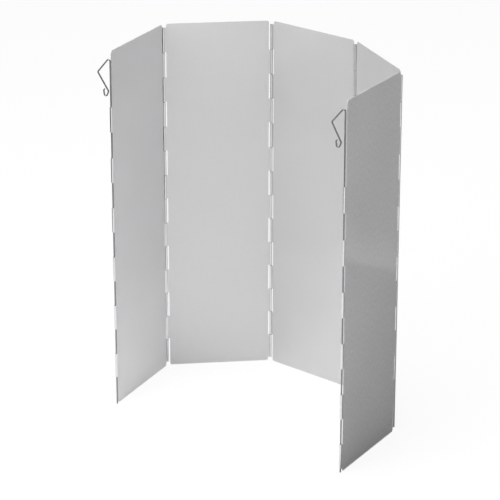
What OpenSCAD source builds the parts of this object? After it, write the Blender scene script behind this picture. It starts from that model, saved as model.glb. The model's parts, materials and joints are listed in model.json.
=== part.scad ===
// Folding stove windscreen: five stamped sheet panels hinged edge to edge by knuckles rolled from the sheet,
// with a bent wire stake in each free edge. Millimetres. The origin is the middle of the middle panel's
// lower edge: X runs along that panel, Y points to the outside of the screen, and Z is up.

/* [Panels] */
// Height of every panel
panel_h = 500; // [300:5:700]
// Distance along the sheet between the two knuckle axes of a panel
hinge_pitch = 147; // [100:1:220]
// Thickness of the sheet
sheet_t = 0.8; // [0.5:0.05:1.2]
// Radius of the panels' corners
corner_r = 3; // [1:0.5:8]

/* [Knuckles] */
// Knuckles along one hinge, which its two panels share in turn
knuckle_count = 14; // [8:2:20]
// Bare edge above the first knuckle and below the last one
end_margin = 5; // [3:0.5:12]
// Gap along the axis between one knuckle and the next
knuckle_gap = 0.8; // [0.2:0.1:1]
// Gap between a knuckle and the edge of the notch that it turns in
notch_gap = 1.7; // [1:0.1:4]
// How far a knuckle's axis stands off the middle of the sheet, to the inside of the screen
axis_off = 0.6; // [0.4:0.1:1]
// Gap of the seam where the rolled edge comes back to its sheet
seam_gap = 0.25; // [0.1:0.05:0.4]

/* [Wire] */
// Diameter of the wire of the pins and stakes
wire_d = 2; // [1.5:0.1:3]
// Room all round the wire in its knuckles
bore_gap = 0.08; // [0.02:0.01:0.1]
// How far a hinge pin stops short of the outer ends of its knuckles
pin_recess = 1; // [0.5:0.5:4]
// Bevel on the cut ends of the wire
wire_bevel = 0.3; // [0.1:0.05:0.5]

/* [Stakes] */
// Drop from the panels' upper edge to the top of a stake
stake_drop = 10; // [4:0.5:20]
// Radius of the bends, at the middle of the wire
bend_r = 2.3; // [1.8:0.1:4]
// How much thicker the wire is in its bends, where it is squeezed
bend_swell = 0.02; // [0.01:0.01:0.1]
// Reach of the finger grip, out from the rod to the crossing of its two arms
grip_reach = 18.8; // [14:0.2:26]
// Angle between the rod and the grip's upper arm
grip_angle = 40; // [30:1:60]
// Drop from the top of a stake to where the wire comes back to its rod
return_drop = 44; // [38:0.5:54]
// Gap between the left stake's returning wire and the knuckles that it slides past
left_hook_gap = 0.2; // [0.1:0.1:5]
// Gap between the right stake's returning wire and the knuckles that it slides past
right_hook_gap = 2.4; // [0.1:0.1:5]
// Reach of the hook, out from where the wire comes back to the crossing of its two legs
hook_reach = 5.6; // [5:0.2:8]
// Drop of the hook, from where the wire comes back to the crossing of its two legs
hook_drop = 13; // [12:0.5:16]
// Reach of the hook's tip, out from where the wire comes back
tip_reach = 7.2; // [6.4:0.2:10]
// Rise of the hook's tip above where the wire comes back
tip_rise = 1; // [0:0.5:6]
// Length of the lip at the hook's tip, bent back towards the rod
lip_l = 2.6; // [2:0.2:5]
// Angle of the lip, up from the way that the hook reaches out
lip_angle = 130; // [100:5:150]

/* [Pose] */
// How far the left end panel leans in from the left back panel
left_outer_turn = 57.2; // [0:0.1:100]
// How far the left back panel leans in from the middle panel
left_inner_turn = 48.3; // [0:0.1:60]
// How far the right back panel leans in from the middle panel
right_inner_turn = 27.7; // [0:0.1:60]
// How far the right end panel leans in from the right back panel
right_outer_turn = 51.3; // [0:0.1:100]

/* [Hidden] */
$fn = 64;

sheet_colour = [0.77, 0.77, 0.78];
wire_colour = [0.62, 0.62, 0.64];

// The wall of a knuckle is the sheet itself
bore_r = wire_d / 2 + bore_gap;
knuckle_r = bore_r + sheet_t;
half_pitch = hinge_pitch / 2;
notch_recess = knuckle_r + notch_gap;
knuckle_step = (panel_h - 2 * end_margin) / knuckle_count;
knuckle_l = knuckle_step - knuckle_gap;
stake_top = panel_h - stake_drop;
// How far a straight leg of wire runs on into the bend that it meets
leg_seat = bend_r / 15;

// Lowest point of a knuckle, counted from the panel's upper end
function knuckle_z(k) = panel_h - end_margin - k * knuckle_step + knuckle_gap / 2;

// A rectangle from the origin with four round corners
module rounded_rectangle(w, h, r) {
    translate([r, 0]) square([w - 2 * r, h]);
    translate([0, r]) square([w, h - 2 * r]);
    for (x = [r, w - r])
        for (y = [r, h - r])
            translate([x, y]) circle(r);
}

// Stands an outline drawn in X and Z up as sheet, with its middle at Y = 0
module sheet() {
    rotate([90, 0, 0]) linear_extrude(sheet_t, center = true) children();
}

// Cross-section of a left edge rolled towards +Y (side 1) or -Y (side -1), with the axis at the origin: the
// sheet comes in from +X off the middle, swells round the wire and ends at a narrow seam beside itself
module rolled_section(side) {
    low = -side * axis_off - sheet_t / 2;
    difference() {
        union() {
            circle(knuckle_r);
            translate([0, low]) square([notch_recess + corner_r, sheet_t]);
        }
        circle(bore_r);
        // The seam starts inside the bore and runs out past the knuckle
        translate([bore_r / 3, side > 0 ? low + sheet_t : low - seam_gap]) square([knuckle_r, seam_gap]);
    }
}

// The knuckles of a left edge, given by their numbers counted from the top
module rolled_edge(numbers, side) {
    translate([-half_pitch, side * axis_off, 0])
        for (k = numbers)
            translate([0, 0, knuckle_z(k)]) linear_extrude(knuckle_l) rolled_section(side);
}

// One stamping: odd knuckles on its left edge and even ones on its right edge, all rolled to the inside
module stamped_panel(left_first = 1, right_first = 2) {
    edge = half_pitch - notch_recess;
    sheet() translate([-edge, 0]) rounded_rectangle(2 * edge, panel_h, corner_r);
    rolled_edge([left_first : 2 : knuckle_count], -1);
    rotate(180) rolled_edge([right_first : 2 : knuckle_count], 1);
}

// A hinge pin on the Z axis, hidden in its knuckles, with bevelled ends
module pin() {
    low = end_margin + knuckle_gap / 2 + pin_recess;
    high = panel_h - low;
    translate([0, 0, low]) cylinder(h = wire_bevel, d1 = wire_d - 2 * wire_bevel, d2 = wire_d);
    translate([0, 0, low + wire_bevel]) cylinder(h = high - low - 2 * wire_bevel, d = wire_d);
    translate([0, 0, high - wire_bevel]) cylinder(h = wire_bevel, d1 = wire_d, d2 = wire_d - 2 * wire_bevel);
}

// Heading of the leg that leaves point i of a path in X and Z, and the turn from the leg before it
function heading(p, i) = atan2(p[i + 1].y - p[i].y, p[i + 1].x - p[i].x);
function turn(p, i) = let (d = heading(p, i) - heading(p, i - 1)) d - 360 * round(d / 360);
// Length of a leg that the round bend at point i takes up
function bend_run(p, i) = i == 0 || i == len(p) - 1 ? 0 : bend_r * tan(abs(turn(p, i)) / 2);
function along(a) = [cos(a), sin(a)];
function in_plane(v) = [v.x, 0, v.y];

// Straight stretch of wire that leaves point i of the path
module wire_leg(p, i) {
    h = heading(p, i);
    low = i == 0 ? 0 : bend_run(p, i) - leg_seat;
    high = norm(p[i + 1] - p[i]) - (i == len(p) - 2 ? 0 : bend_run(p, i + 1) - leg_seat);
    translate(in_plane(p[i] + low * along(h)))
        rotate([0, 90 - h, 0]) cylinder(h = high - low, d = wire_d);
}

// Round bend of the wire at point i of the path
module wire_bend(p, i) {
    h = heading(p, i - 1);
    t = turn(p, i);
    side = sign(t) * 90;
    centre = p[i] - bend_run(p, i) * along(h) + bend_r * along(h + side);
    translate(in_plane(centre)) rotate([90, 0, 0]) rotate(h - side + min(t, 0))
        rotate_extrude(angle = abs(t)) translate([bend_r, 0]) circle(d = wire_d + bend_swell);
}

// A stake on the Z axis with its grip and hook towards +X: rod cut square and bevelled, sharp bend at the
// top, V-shaped finger grip, and an open hook where the wire comes back beside the rod
module stake(hook_gap) {
    // The rod's line and the upper arm's cross above the round bend at the top
    crossing = stake_top - wire_d / 2 - bend_r + bend_r / tan(grip_angle / 2);
    back = knuckle_r + hook_gap + wire_d / 2;
    path = [
        [0, wire_bevel],
        [0, crossing],
        [grip_reach, crossing - grip_reach / tan(grip_angle)],
        [back, stake_top - return_drop],
        [back + hook_reach, stake_top - return_drop - hook_drop],
        [back + tip_reach, stake_top - return_drop + tip_rise],
        [back + tip_reach, stake_top - return_drop + tip_rise] + lip_l * along(lip_angle)
    ];
    cylinder(h = wire_bevel, d1 = wire_d - 2 * wire_bevel, d2 = wire_d);
    for (i = [0 : len(path) - 2]) wire_leg(path, i);
    for (i = [1 : len(path) - 2]) wire_bend(path, i);
}

// Places of the panels: each turns about the hinge that it shares with the panel nearer the middle
module in_left_back() {
    translate([-half_pitch, -axis_off, 0]) rotate(left_inner_turn)
        translate([-half_pitch, axis_off, 0]) children();
}
module in_left_end() {
    in_left_back() translate([-half_pitch, -axis_off, 0]) rotate(left_outer_turn)
        translate([-half_pitch, axis_off, 0]) children();
}
module in_right_back() {
    translate([half_pitch, -axis_off, 0]) rotate(-right_inner_turn)
        translate([half_pitch, axis_off, 0]) children();
}
module in_right_end() {
    in_right_back() translate([half_pitch, -axis_off, 0]) rotate(-right_outer_turn)
        translate([half_pitch, axis_off, 0]) children();
}

module left_end_panel() {
    color(sheet_colour) in_left_end() stamped_panel(left_first = 3);
}

module left_back_panel() {
    color(sheet_colour) in_left_back() stamped_panel();
}

module middle_panel() {
    color(sheet_colour) stamped_panel();
}

module right_back_panel() {
    color(sheet_colour) in_right_back() stamped_panel();
}

module right_end_panel() {
    color(sheet_colour) in_right_end() stamped_panel(right_first = 4);
}

module left_outer_pin() {
    color(wire_colour) in_left_back() translate([-half_pitch, -axis_off, 0]) pin();
}

module left_inner_pin() {
    color(wire_colour) translate([-half_pitch, -axis_off, 0]) pin();
}

module right_inner_pin() {
    color(wire_colour) translate([half_pitch, -axis_off, 0]) pin();
}

module right_outer_pin() {
    color(wire_colour) in_right_back() translate([half_pitch, -axis_off, 0]) pin();
}

module left_stake() {
    color(wire_colour) in_left_end() translate([-half_pitch, -axis_off, 0]) rotate(90) stake(left_hook_gap);
}

module right_stake() {
    color(wire_colour) in_right_end() translate([half_pitch, -axis_off, 0]) rotate(-90) stake(right_hook_gap);
}

left_end_panel();
left_back_panel();
middle_panel();
right_back_panel();
right_end_panel();
left_outer_pin();
left_inner_pin();
right_inner_pin();
right_outer_pin();
left_stake();
right_stake();
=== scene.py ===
"""Looks of the folding stove windscreen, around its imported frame. Metres; X runs along the middle panel,
Y points to the outside of the screen, and Z is up."""

import json

import bpy
import numpy as np
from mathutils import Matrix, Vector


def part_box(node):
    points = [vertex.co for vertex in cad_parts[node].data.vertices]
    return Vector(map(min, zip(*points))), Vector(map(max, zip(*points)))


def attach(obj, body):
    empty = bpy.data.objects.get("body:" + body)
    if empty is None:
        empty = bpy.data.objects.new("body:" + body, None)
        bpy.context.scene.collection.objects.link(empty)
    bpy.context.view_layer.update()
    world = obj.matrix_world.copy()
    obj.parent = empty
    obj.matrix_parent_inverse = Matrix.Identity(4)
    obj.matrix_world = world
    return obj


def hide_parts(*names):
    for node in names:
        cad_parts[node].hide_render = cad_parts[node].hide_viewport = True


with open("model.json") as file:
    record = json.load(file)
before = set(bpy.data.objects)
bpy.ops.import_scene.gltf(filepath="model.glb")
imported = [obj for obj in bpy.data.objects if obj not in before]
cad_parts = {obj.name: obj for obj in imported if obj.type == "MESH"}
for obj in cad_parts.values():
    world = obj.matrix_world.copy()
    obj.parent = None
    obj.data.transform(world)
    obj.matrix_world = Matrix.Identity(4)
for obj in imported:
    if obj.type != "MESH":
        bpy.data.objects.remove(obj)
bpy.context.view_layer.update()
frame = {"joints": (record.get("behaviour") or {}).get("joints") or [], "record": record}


# Panels
# Each is one blank of 0.8 mm aluminium sheet with an upright satin grain, sheared with a row of tabs on both
# long edges. The tabs are joggled and curled round the hinge wire to the inside, with an open seam. All five
# come off one tool, and the two end panels lose one tab each, where the grips of their stakes stand.

PANEL_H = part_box("middle_panel")[1].z
HINGE_PITCH = 0.147
SHEET_T = 0.0008
CURL_R = 0.00148
CURL_END = np.radians(-177)
AXIS_OFF = 0.0006
JOGGLE_R = 0.001
NOTCH_RECESS = 0.00358
CORNER_R = 0.003
KNUCKLE_COUNT = 14
END_MARGIN = 0.005
KNUCKLE_GAP = 0.0008
EDGE_SOFTENING = 0.00013
EDGE_ANGLE = np.radians(50)
BOW = 0.00011
LONG_WAVE = 0.37
SHORT_WAVE = 0.19
SHORT_SHARE = 0.6
PHASE_STEP = 1.7
SHEET_COLOUR = (0.80, 0.80, 0.805)
HAIRLINES = (3200, 26, 1)
FLECKS = (700, 190, 1)
CLOUDS = (7, 7, 7)
NOISE_SPAN = (0.3, 0.7)
SCREEN_MIDDLE = (0.03, -0.12, 0.25)
FACE_CHANGE = 0.001

half_pitch = HINGE_PITCH / 2
sheet_half = half_pitch - NOTCH_RECESS
knuckle_step = (PANEL_H - 2 * END_MARGIN) / KNUCKLE_COUNT


def knuckle_span(number):
    """Lowest and highest point of a knuckle, whose number counts from the panel's upper end."""
    top = PANEL_H - END_MARGIN - (number - 1) * knuckle_step
    return top - knuckle_step + KNUCKLE_GAP / 2, top - KNUCKLE_GAP / 2


def panel_rows(longest=0.006):
    """Heights of a panel's mesh rows. Every knuckle end and every step of the round corners is a row, and
    stretches longer than the given length are divided evenly."""
    corner = CORNER_R * (1 - np.cos(np.linspace(0, np.pi / 2, 6)))
    ends = np.ravel([knuckle_span(number) for number in range(1, KNUCKLE_COUNT + 1)])
    breaks = np.unique(np.concatenate([corner, PANEL_H - corner, ends]).round(7))
    spans = zip(breaks[:-1], breaks[1:])
    rows = [np.linspace(low, high, int(np.ceil((high - low) / longest)) + 1)[:-1] for low, high in spans]
    return np.append(np.concatenate(rows), breaks[-1])


def tab_profile():
    """Cross-section of a right-hand tab outside the sheet's edge: straight on, then up a joggle, which is an
    arc that touches both the sheet's line and the knuckle's circle, and round that circle clockwise to the
    seam. The circle stands on the knuckle's axis, a little inside the sheet. Gives x, y and the length of
    sheet so far."""
    joggle_x = np.sqrt((CURL_R + JOGGLE_R) ** 2 - (AXIS_OFF + JOGGLE_R) ** 2)
    meet = np.arctan2(AXIS_OFF + JOGGLE_R, -joggle_x)
    flat = np.linspace(NOTCH_RECESS, joggle_x, 4)[1:]
    rise = np.linspace(-np.pi / 2, meet - np.pi, 6)[1:]
    round_wire = np.linspace(meet, CURL_END, 34)[1:]
    x = [-flat, -joggle_x + JOGGLE_R * np.cos(rise), CURL_R * np.cos(round_wire)]
    y = [0 * flat, JOGGLE_R * (1 + np.sin(rise)), CURL_R * np.sin(round_wire) - AXIS_OFF]
    x = half_pitch + np.concatenate(x)
    y = np.concatenate(y)
    run = np.cumsum(np.hypot(np.diff(x, prepend=sheet_half), np.diff(y, prepend=0.0)))
    return x, y, run


def grid_faces(index):
    """Quads between the neighbouring rows and columns of an array of vertex numbers."""
    return np.stack([index[:-1, :-1], index[:-1, 1:], index[1:, 1:], index[1:, :-1]], -1).reshape(-1, 4)


def new_piece(name, points, faces, uv_name, uv):
    """A smooth mesh object at the origin, from arrays of points, faces and texture places."""
    mesh = bpy.data.meshes.new(name)
    mesh.from_pydata(points.tolist(), [], [face.tolist() for group in faces for face in group])
    places = np.concatenate([part.reshape(-1) for part in uv])
    mesh.uv_layers.new(name=uv_name).data.foreach_set("uv", places)
    mesh.polygons.foreach_set("use_smooth", np.ones(len(mesh.polygons), bool))
    mesh.update()
    piece = bpy.data.objects.new(name, mesh)
    bpy.context.scene.collection.objects.link(piece)
    return piece


def panel_sheet(left_knuckles, right_knuckles, phase):
    """Middle surface of a panel in its own frame. The sheet is a grid whose ends draw in along the round
    corners and whose middle bows inwards by a few tenths of a millimetre, as rolled sheet does: a sum of two
    slow waves that dies out towards all four edges. Each tab is a profile carried along its knuckle, from
    the sheet's own edge. Gives points, faces, each point's texture place (distance across, height) and how
    much it is rolled."""
    rows = panel_rows()
    across = np.sin(np.linspace(-np.pi / 2, np.pi / 2, 41))
    end = np.minimum(rows, PANEL_H - rows)
    inset = CORNER_R - np.sqrt(CORNER_R**2 - np.clip(CORNER_R - end, 0, None) ** 2)
    s, z = np.meshgrid(across, rows)
    x = s * (sheet_half - inset)[:, None]
    long = np.cos(2 * np.pi * z / LONG_WAVE + phase)
    short = np.cos(2 * np.pi * (z / SHORT_WAVE + 0.5 * s) + 2.3 * phase)
    fade = (1 - s**2) ** 2 * (1 - (2 * z / PANEL_H - 1) ** 8) ** 2
    y = -BOW * (1 + SHORT_SHARE + long + SHORT_SHARE * short) * fade
    points = [np.stack([x, y, z], -1).reshape(-1, 3)]
    uv = [np.stack([x, z], -1).reshape(-1, 2)]
    rolled = [np.zeros(s.size)]
    index = np.arange(s.size).reshape(s.shape)
    faces = [grid_faces(index)]
    count = s.size
    px, py, run = tab_profile()
    tabs = [(1, number) for number in right_knuckles] + [(-1, number) for number in left_knuckles]
    for side, number in tabs:
        low, high = knuckle_span(number)
        inside = np.flatnonzero((rows > low - 1e-6) & (rows < high + 1e-6))
        tab_z = rows[inside][:, None] + 0 * px
        points.append(np.stack([side * px + 0 * tab_z, py + 0 * tab_z, tab_z], -1).reshape(-1, 3))
        uv.append(np.stack([side * (sheet_half + run) + 0 * tab_z, tab_z], -1).reshape(-1, 2))
        rolled.append(np.clip(run / NOTCH_RECESS, 0, 1) + 0 * tab_z)
        own = count + np.arange(tab_z.size).reshape(tab_z.shape)
        root = index[inside, -1 if side > 0 else 0][:, None]
        strip = np.hstack([root, own])
        faces.append(grid_faces(strip if side > 0 else strip[:, ::-1]))
        count += tab_z.size
    rolled = np.concatenate([part.ravel() for part in rolled])
    return np.concatenate(points), faces, np.concatenate(uv), rolled


def stand_between(points, left_axis, right_axis):
    """Turns and moves a panel from its own frame so that its two knuckle axes stand on the given places."""
    c, s = np.subtract(right_axis, left_axis) / HINGE_PITCH
    x, y, z = points.T
    y = y + AXIS_OFF
    middle = np.add(left_axis, right_axis) / 2
    return np.stack([middle[0] + c * x - s * y, middle[1] + s * x + c * y, z], -1)


def set_inputs(node, inputs):
    """Gives each named input of a node its value, or a link where the value is another node's output."""
    for name, value in inputs.items():
        if isinstance(value, bpy.types.NodeSocket):
            node.id_data.links.new(value, node.inputs[name])
        else:
            node.inputs[name].default_value = value


def new_finish(name, inputs):
    """A new material and its shader, with values on the shader's own inputs."""
    material = bpy.data.materials.new(name)
    material.use_nodes = True
    shader = material.node_tree.nodes["Principled BSDF"]
    set_inputs(shader, inputs)
    return material, shader


def shader_node(material, kind, inputs=(), **settings):
    """Adds a node to a material, with its settings and its unlinked or linked inputs."""
    made = material.node_tree.nodes.new("ShaderNode" + kind)
    for name, value in settings.items():
        setattr(made, name, value)
    set_inputs(made, dict(inputs))
    return made


def grain(material, place, scale, detail):
    """Noise stretched by a scale for each direction of its place, as a value from 0 to 1."""
    stretched = shader_node(material, "Mapping", {"Vector": place, "Scale": scale})
    noise = {"Vector": stretched.outputs[0], "Scale": 1.0, "Detail": detail}
    return shader_node(material, "TexNoise", noise).outputs["Fac"]


def between(material, value, low, high, start=0.0, end=1.0):
    """A value from 0 to 1, or from start to end, spread from low to high."""
    spread = {"Value": value, "From Min": start, "From Max": end, "To Min": low, "To Max": high}
    return shader_node(material, "MapRange", spread).outputs[0]


def combined(material, operation, first, second):
    """Two values put together, as their product, their sum or the larger of the two."""
    return shader_node(material, "Math", {0: first, 1: second}, operation=operation).outputs[0]


def tinted(material, colour, shade):
    """A colour made darker or lighter by a shade."""
    return shader_node(material, "VectorMath", {0: colour, "Scale": shade}, operation="SCALE").outputs[0]


satin_sheet, shader = new_finish("satin_sheet", {
    "Metallic": 1.0, "Anisotropic": 0.5, "Coat Weight": 0.5, "Coat Roughness": 0.06})
on_sheet = shader_node(satin_sheet, "UVMap", uv_map="sheet").outputs[0]
places = shader_node(satin_sheet, "TexCoord").outputs
hairlines = grain(satin_sheet, on_sheet, HAIRLINES, 3.0)
flecks = grain(satin_sheet, on_sheet, FLECKS, 2.0)
clouds = grain(satin_sheet, places["Object"], CLOUDS, 3.0)

# The sheet is coarser outside than inside. A face is outside where it looks away from the screen's middle.
away = shader_node(satin_sheet, "VectorMath", {0: places["Object"], 1: SCREEN_MIDDLE}, operation="SUBTRACT")
look = {0: away.outputs[0], 1: places["Normal"]}
facing = shader_node(satin_sheet, "VectorMath", look, operation="DOT_PRODUCT").outputs["Value"]
outside = between(satin_sheet, facing, 0.0, 1.0, -FACE_CHANGE, FACE_CHANGE)
fleck_low = between(satin_sheet, outside, 0.99, 0.93)
fleck_high = between(satin_sheet, outside, 1.01, 1.065)
fleck_shade = between(satin_sheet, flecks, fleck_low, fleck_high, *NOISE_SPAN)
cloud_shade = between(satin_sheet, clouds, 0.975, 1.02, *NOISE_SPAN)
shade = combined(satin_sheet, "MULTIPLY", fleck_shade, cloud_shade)

# The rolls iron the tabs smoother than the sheet.
rolled_over = shader_node(satin_sheet, "Attribute", attribute_name="rolled").outputs["Fac"]
matt = between(satin_sheet, hairlines, 0.55, 0.65, 0.25, 0.75)
smudge = between(satin_sheet, clouds, -0.025, 0.035, *NOISE_SPAN)
satin = combined(satin_sheet, "ADD", matt, smudge)
ironed = between(satin_sheet, rolled_over, 0.0, -0.32)
relief = shader_node(satin_sheet, "Bump", {"Height": hairlines, "Strength": 0.12, "Distance": 0.00004})
lie = shader_node(satin_sheet, "Tangent", direction_type="UV_MAP", uv_map="sheet")
set_inputs(shader, {
    "Base Color": tinted(satin_sheet, SHEET_COLOUR, shade),
    "Roughness": combined(satin_sheet, "ADD", satin, ironed),
    "Normal": relief.outputs[0],
    "Tangent": lie.outputs[0],
})

hinge_at = {joint["name"]: joint["pos_m"][:2] for joint in frame["joints"] if "pos_m" in joint}
stake_at = {mount["name"]: mount["pos_m"][:2] for mount in frame["record"]["mounts"]}
odd = range(1, KNUCKLE_COUNT + 1, 2)
even = range(2, KNUCKLE_COUNT + 1, 2)
HINGES = ["left_outer", "left_inner", "right_inner", "right_outer"]
hinge_axes = [hinge_at[name + "_hinge"] for name in HINGES]
axes = [stake_at["left_stake_point"], *hinge_axes, stake_at["right_stake_point"]]
PANELS = [
    ("left_end", odd[1:], even),
    ("left_back", odd, even),
    ("middle", odd, even),
    ("right_back", odd, even),
    ("right_end", odd, even[1:]),
]
for number, (body, left_knuckles, right_knuckles) in enumerate(PANELS):
    points, faces, uv, rolled = panel_sheet(left_knuckles, right_knuckles, PHASE_STEP * number)
    points = stand_between(points, axes[number], axes[number + 1])
    panel = new_piece(body + "_sheet", points, faces, "sheet", [uv[group] for group in faces])
    rolled_part = panel.data.attributes.new("rolled", "FLOAT", "POINT")
    rolled_part.data.foreach_set("value", rolled.astype(np.float32))
    panel.data.materials.append(satin_sheet)
    wall = panel.modifiers.new("sheet thickness", "SOLIDIFY")
    wall.thickness = SHEET_T
    wall.offset = 0.0
    soft = panel.modifiers.new("sheared edge", "BEVEL")
    soft.width = EDGE_SOFTENING
    soft.segments = 2
    soft.limit_method = "ANGLE"
    soft.angle_limit = EDGE_ANGLE
    soft.harden_normals = True
    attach(panel, body)
    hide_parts(body + "_panel")


# Hinge pins
# Straight lengths of 2 mm drawn steel wire with a thin bright plating, cut off square and deburred. Each is
# pushed down through the interlocked knuckles of two panels and stops just inside the outer ones.

WIRE_R = 0.001
PIN_RECESS = 0.001
DEBURR = 0.0003
WIRE_SIDES = 24
PIN_END_ANGLE = np.radians(35)
WIRE_COLOUR = (0.27, 0.27, 0.275)
DIE_LINES = (26, 60, 1)
PLATING = (420, 420, 420)


def wire_surface(path, radius, out, at):
    """Skin of a wire whose centre line lies in one upright plane: a circle carried along the path, square to
    it. The path gives distance outwards and height, radius is one value for each of its points, out is the
    way outwards in plan and at is the plane's place. Each end is a flat fan round its centre. Gives points,
    faces and texture places (share of the way round, length along the wire) of the face corners."""
    out = np.array([out[0], out[1], 0.0])
    up = np.array([0.0, 0.0, 1.0])
    side = np.cross(out, up)
    step = np.gradient(path, axis=0)
    step /= np.linalg.norm(step, axis=1)[:, None]
    centre = np.array([at[0], at[1], 0.0]) + path[:, :1] * out + path[:, 1:] * up
    square = -step[:, 1:] * out + step[:, :1] * up
    angle = np.linspace(0, 2 * np.pi, WIRE_SIDES, endpoint=False)
    ring = np.cos(angle)[None, :, None] * square[:, None, :] + np.sin(angle)[None, :, None] * side
    points = (centre[:, None, :] + radius[:, None, None] * ring).reshape(-1, 3)
    count = len(points)
    points = np.concatenate([points, centre[:1], centre[-1:]])
    index = np.arange(count).reshape(len(path), WIRE_SIDES)
    closed = np.hstack([index, index[:, :1]])
    first = np.stack([closed[0, 1:], closed[0, :-1], np.full(WIRE_SIDES, count)], -1)
    last = np.stack([closed[-1, :-1], closed[-1, 1:], np.full(WIRE_SIDES, count + 1)], -1)
    run = np.append(0, np.cumsum(np.linalg.norm(np.diff(path, axis=0), axis=1)))
    share, along = np.meshgrid(np.linspace(0, 1, WIRE_SIDES + 1), run)
    place = np.stack([share, along], -1)
    walls = np.stack([place[:-1, :-1], place[:-1, 1:], place[1:, 1:], place[1:, :-1]], -2)
    ends = [np.stack([place[row, 1:], place[row, :-1], place[row, :-1]], -2) for row in (0, -1)]
    return points, [grid_faces(closed), first, last], [walls, ends[0], ends[1][:, [1, 0, 2]]]


drawn_wire, shader = new_finish("drawn_wire", {"Metallic": 1.0})
on_wire = shader_node(drawn_wire, "UVMap", uv_map="wire").outputs[0]
in_space = shader_node(drawn_wire, "TexCoord").outputs["Object"]
die_lines = grain(drawn_wire, on_wire, DIE_LINES, 2.0)
plating = grain(drawn_wire, in_space, PLATING, 3.0)
shade = between(drawn_wire, plating, 0.88, 1.10, *NOISE_SPAN)
relief = shader_node(drawn_wire, "Bump", {"Height": die_lines, "Strength": 0.2, "Distance": 0.00003})
set_inputs(shader, {
    "Base Color": tinted(drawn_wire, WIRE_COLOUR, shade),
    "Roughness": between(drawn_wire, die_lines, 0.12, 0.24, *NOISE_SPAN),
    "Normal": relief.outputs[0],
})

PINS = [
    ("left_outer", "left_back"),
    ("left_inner", "middle"),
    ("right_inner", "middle"),
    ("right_outer", "right_back"),
]
pin_low = END_MARGIN + KNUCKLE_GAP / 2 + PIN_RECESS
pin_high = PANEL_H - pin_low
for hinge, body in PINS:
    length = np.linspace(pin_low + DEBURR, pin_high - DEBURR, 60)
    height = np.concatenate([[pin_low], length, [pin_high]])
    radius = np.full(len(height), WIRE_R)
    radius[[0, -1]] = WIRE_R - DEBURR
    path = np.stack([0 * height, height], -1)
    points, faces, uv = wire_surface(path, radius, (0, 1), hinge_at[hinge + "_hinge"])
    pin = new_piece(hinge + "_wire", points, faces, "wire", uv)
    pin.data.set_sharp_from_angle(angle=PIN_END_ANGLE)
    pin.data.materials.append(drawn_wire)
    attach(pin, body)
    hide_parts(hinge + "_pin")


# Ground stakes
# The same wire, cut off square and bent at its head into a V for a fingertip and a small open hook. Each
# slides through six knuckles of an end panel's free edge and is pushed into the ground against the wind.

STAKE_TOP = PANEL_H - 0.010
BEND_R = 0.0023
GRIP_REACH = 0.0188
GRIP_ANGLE = np.radians(40)
RETURN_DROP = 0.044
HOOK_REACH = 0.0056
HOOK_DROP = 0.013
TIP_REACH = 0.0072
TIP_RISE = 0.001
LIP_L = 0.0026
LIP_ANGLE = np.radians(130)
KNUCKLE_R = CURL_R + SHEET_T / 2
STAKE_END_ANGLE = np.radians(40)


def bent_path(corners, radius, steps=14):
    """A path of straight legs between corners, where each inner corner is replaced by an arc of the given
    radius that touches both legs: its centre lies on the inner side, a radius away from either leg."""
    legs = np.diff(corners, axis=0)
    heading = np.arctan2(legs[:, 1], legs[:, 0])
    turn = (np.diff(heading) + np.pi) % (2 * np.pi) - np.pi
    pieces = [corners[:1]]
    for corner, start, sweep in zip(corners[1:-1], heading, turn):
        way = np.array([np.cos(start), np.sin(start)])
        inner = np.sign(sweep) * np.array([-way[1], way[0]])
        centre = corner - radius * np.tan(abs(sweep) / 2) * way + radius * inner
        angle = np.arctan2(-inner[1], -inner[0]) + sweep * np.linspace(0, 1, steps)
        pieces.append(centre + radius * np.stack([np.cos(angle), np.sin(angle)], -1))
    return np.concatenate(pieces + [corners[-1:]])


def even_path(path, spacing):
    """The same path with points added along its long straight legs, so that no step exceeds the spacing."""
    run = np.append(0, np.cumsum(np.linalg.norm(np.diff(path, axis=0), axis=1)))
    extra = np.arange(spacing, run[-1], spacing)
    stops = np.unique(np.concatenate([run, extra]).round(6))
    return np.stack([np.interp(stops, run, path[:, 0]), np.interp(stops, run, path[:, 1])], -1)


STAKES = [
    ("left", 0.0002),
    ("right", 0.0024),
]
for side, hook_gap in STAKES:
    at = stake_at[side + "_stake_point"]
    low, high = (np.array(corner.xy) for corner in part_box(side + "_stake"))
    out = (high - low - 2 * WIRE_R) * np.sign((low + high) / 2 - at)
    out /= np.linalg.norm(out)
    crossing = STAKE_TOP - WIRE_R - BEND_R + BEND_R / np.tan(GRIP_ANGLE / 2)
    back = KNUCKLE_R + hook_gap + WIRE_R
    tip = np.array([back + TIP_REACH, STAKE_TOP - RETURN_DROP + TIP_RISE])
    corners = np.array([
        [0, DEBURR],
        [0, crossing],
        [GRIP_REACH, crossing - GRIP_REACH / np.tan(GRIP_ANGLE)],
        [back, STAKE_TOP - RETURN_DROP],
        [back + HOOK_REACH, STAKE_TOP - RETURN_DROP - HOOK_DROP],
        tip,
        tip + LIP_L * np.array([np.cos(LIP_ANGLE), np.sin(LIP_ANGLE)]),
    ])
    bent = even_path(bent_path(corners, BEND_R), 0.008)
    path = np.concatenate([[[0, 0]], bent])
    radius = np.full(len(path), WIRE_R)
    radius[[0, -1]] = WIRE_R - DEBURR
    points, faces, uv = wire_surface(path, radius, out, at)
    stake = new_piece(side + "_bent_wire", points, faces, "wire", uv)
    stake.data.set_sharp_from_angle(angle=STAKE_END_ANGLE)
    stake.data.materials.append(drawn_wire)
    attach(stake, side + "_stake")
    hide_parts(side + "_stake")


# Studio
# A plain pale floor under an even bright surround, with a soft lamp overhead and one at the front. The metal
# mirrors four things that only reflections show: a card beside the right end panel that carries a painted
# shadow of the screen on the floor, a black cloth on the left, a sheet between the panels painted in the
# grey of the shade under the screen, and a dark curtain behind.

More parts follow.
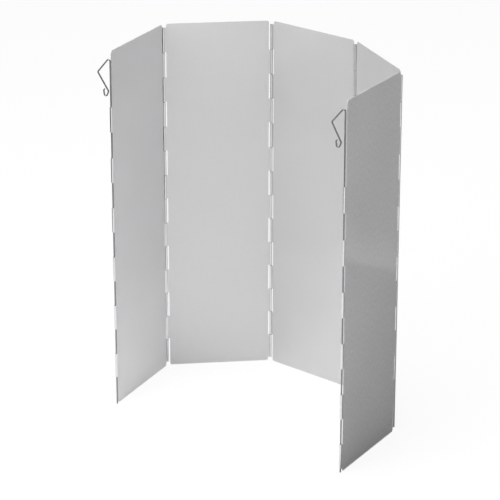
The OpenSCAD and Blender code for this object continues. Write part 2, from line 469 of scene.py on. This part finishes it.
FLOOR_HALF = 12.0
FLOOR_Z = -0.0002
FLOOR_WHITE = 0.85
CARD_Z = 0.0005
CARD_GAP = 0.0015
CARD_START = -0.03
CARD_LENGTH = 3.2
CARD_WIDTH = 2.4
CARD_RAMP = 2.0
# The card's painted shadow: stops of its grey ramp, as position and grey level.
PAINTED_SHADOW_TONES = [(0.33, 0.23), (0.34, 1.0), (0.40, 0.34), (1.0, 0.42)]
CLOTH_OUTER = 6.0
CURTAIN_REACH = 3.0
CURTAIN_H = 2.0
LAMP_WIDTH = 1.2


def grey(level):
    """A plain grey as a colour with full cover."""
    return (level, level, level, 1.0)


def stage_piece(name, points, faces, finish):
    """A thing in the studio that isn't part of the object, from its points, its faces and one finish."""
    mesh = bpy.data.meshes.new(name)
    mesh.from_pydata(points, [], faces)
    mesh.materials.append(finish)
    made = bpy.data.objects.new(name, mesh)
    bpy.context.scene.collection.objects.link(made)
    return made


pale_floor, shader = new_finish("pale_floor", {
    "Base Color": grey(0.93), "Roughness": 0.9, "Specular IOR Level": 0.1})
rays = shader_node(pale_floor, "LightPath").outputs
seen = combined(pale_floor, "MAXIMUM", rays["Is Camera Ray"], rays["Is Glossy Ray"])
seen = combined(pale_floor, "MAXIMUM", seen, rays["Is Transmission Ray"])
share = combined(pale_floor, "MULTIPLY", seen, FLOOR_WHITE)
white = shader_node(pale_floor, "Emission", {"Color": grey(1.0), "Strength": 1.0})
paper = shader_node(pale_floor, "MixShader", {0: share, 1: shader.outputs[0], 2: white.outputs[0]})
set_inputs(pale_floor.node_tree.nodes["Material Output"], {"Surface": paper.outputs[0]})
floor_plan = FLOOR_HALF * np.array([(-1, -1), (1, -1), (1, 1), (-1, 1)])
stage_piece("floor", [(x, y, FLOOR_Z) for x, y in floor_plan], [(0, 1, 2, 3)], pale_floor)

# Painted shadow: this card shows only in reflections. Its grey ramp along the right end panel paints the
# screen's shadow on the floor there: dark first, then one bright band, then mid grey.
painted_shadow_card, shader = new_finish("painted_shadow_card", {"Roughness": 0.9})
on_card = shader_node(painted_shadow_card, "UVMap", uv_map="card").outputs[0]
along_card = shader_node(painted_shadow_card, "SeparateXYZ", {0: on_card}).outputs[0]
tone = shader_node(painted_shadow_card, "ValToRGB", {0: between(painted_shadow_card, along_card, 0.0, 1.0, 0.0, CARD_RAMP)})
stops = tone.color_ramp.elements
for stop, (position, level) in zip(stops, PAINTED_SHADOW_TONES[:2]):
    stop.position = position
    stop.color = grey(level)
for position, level in PAINTED_SHADOW_TONES[2:]:
    stops.new(position).color = grey(level)
set_inputs(shader, {"Base Color": tone.outputs[0]})
card_start = np.array(stake_at["right_stake_point"])
card_along = np.subtract(hinge_at["right_outer_hinge"], card_start) / HINGE_PITCH
card_out = np.array([card_along[1], -card_along[0]])
card_shape = [
    (CARD_START, CARD_GAP),
    (CARD_START, CARD_WIDTH),
    (CARD_LENGTH, CARD_WIDTH),
    (CARD_LENGTH, CARD_GAP),
]
card_plan = [card_start + run * card_along + reach * card_out for run, reach in card_shape]
card = stage_piece("painted_shadow_card", [(x, y, CARD_Z) for x, y in card_plan], [(0, 1, 2, 3)], painted_shadow_card)
card.data.uv_layers.new(name="card").data.foreach_set("uv", np.ravel(card_shape))

black_cloth, shader = new_finish("black_cloth", {
    "Base Color": grey(0.03), "Roughness": 1.0, "Specular IOR Level": 0.0})
cloth_turn = np.linspace(80, 240, 41)
cloth_inner = np.interp(cloth_turn, (110, 122), (1.2, 0.8))
cloth_way = np.stack([np.cos(np.radians(cloth_turn)), -np.sin(np.radians(cloth_turn))], -1)
cloth_rows = [cloth_way * reach[:, None] for reach in (cloth_inner, 0 * cloth_inner + CLOTH_OUTER)]
cloth_plan = [(x, y, CARD_Z) for row in cloth_rows for x, y in row]
cloth_quads = grid_faces(np.arange(2 * len(cloth_turn)).reshape(2, -1))
cloth = stage_piece("black_cloth", cloth_plan, cloth_quads.tolist(), black_cloth)

# Painted shade: a sheet between the panels' axes, in the grey of the screen's shade on the floor, which only
# reflections see.
painted_shade_grey, shader = new_finish("painted_shade_grey", {"Base Color": grey(0.72), "Roughness": 0.9})
sheet_plan = [(x, y, CARD_Z) for x, y in axes]
painted_shade_sheet = stage_piece("painted_shade_sheet", sheet_plan, [tuple(range(len(axes)))], painted_shade_grey)

curtain_grey, shader = new_finish("curtain_grey", {"Base Color": grey(0.2), "Roughness": 1.0})
curtain_turn = np.radians(np.linspace(25, 205, 37))
curtain_way = CURTAIN_REACH * np.stack([np.cos(curtain_turn), np.sin(curtain_turn)], -1)
curtain_wall = [(x, y, z) for z in (0.0, CURTAIN_H) for x, y in curtain_way]
curtain_quads = grid_faces(np.arange(2 * len(curtain_turn)).reshape(2, -1))
curtain = stage_piece("curtain", curtain_wall, curtain_quads.tolist(), curtain_grey)

for mirrored in (card, cloth, painted_shade_sheet, curtain):
    mirrored.visible_camera = False
    mirrored.visible_diffuse = False
    mirrored.visible_shadow = False
    mirrored.visible_transmission = False

world = bpy.data.worlds.new("studio")
bpy.context.scene.world = world
world.use_nodes = True
set_inputs(world.node_tree.nodes["Background"], {"Color": grey(1.0), "Strength": 0.72})

LAMPS = [
    ("key", 20.0, (0.0, -0.14, 2.45), (0, 0, 0)),
    ("front", 17.0, (-0.23, -1.75, 1.25), (60, 0, -8)),
]
for name, energy, place, turn in LAMPS:
    light = bpy.data.lights.new(name, "AREA")
    light.shape = "RECTANGLE"
    light.size = LAMP_WIDTH
    light.size_y = LAMP_WIDTH
    light.energy = energy
    lamp = bpy.data.objects.new(name, light)
    lamp.location = place
    lamp.rotation_euler = np.radians(turn)
    bpy.context.scene.collection.objects.link(lamp)

camera = bpy.data.cameras.new("photo_view")
camera.lens = 175.73
camera.sensor_width = 36.0
camera.clip_end = 50.0
camera_stand = bpy.data.objects.new("photo_view", camera)
camera_stand.location = (2.0254, -2.4063, 1.3920)
camera_stand.rotation_euler = np.radians((90 - 20.98, 0, 41.63))
bpy.context.scene.collection.objects.link(camera_stand)
bpy.context.scene.camera = camera_stand
bpy.context.scene.view_settings.view_transform = "Standard"
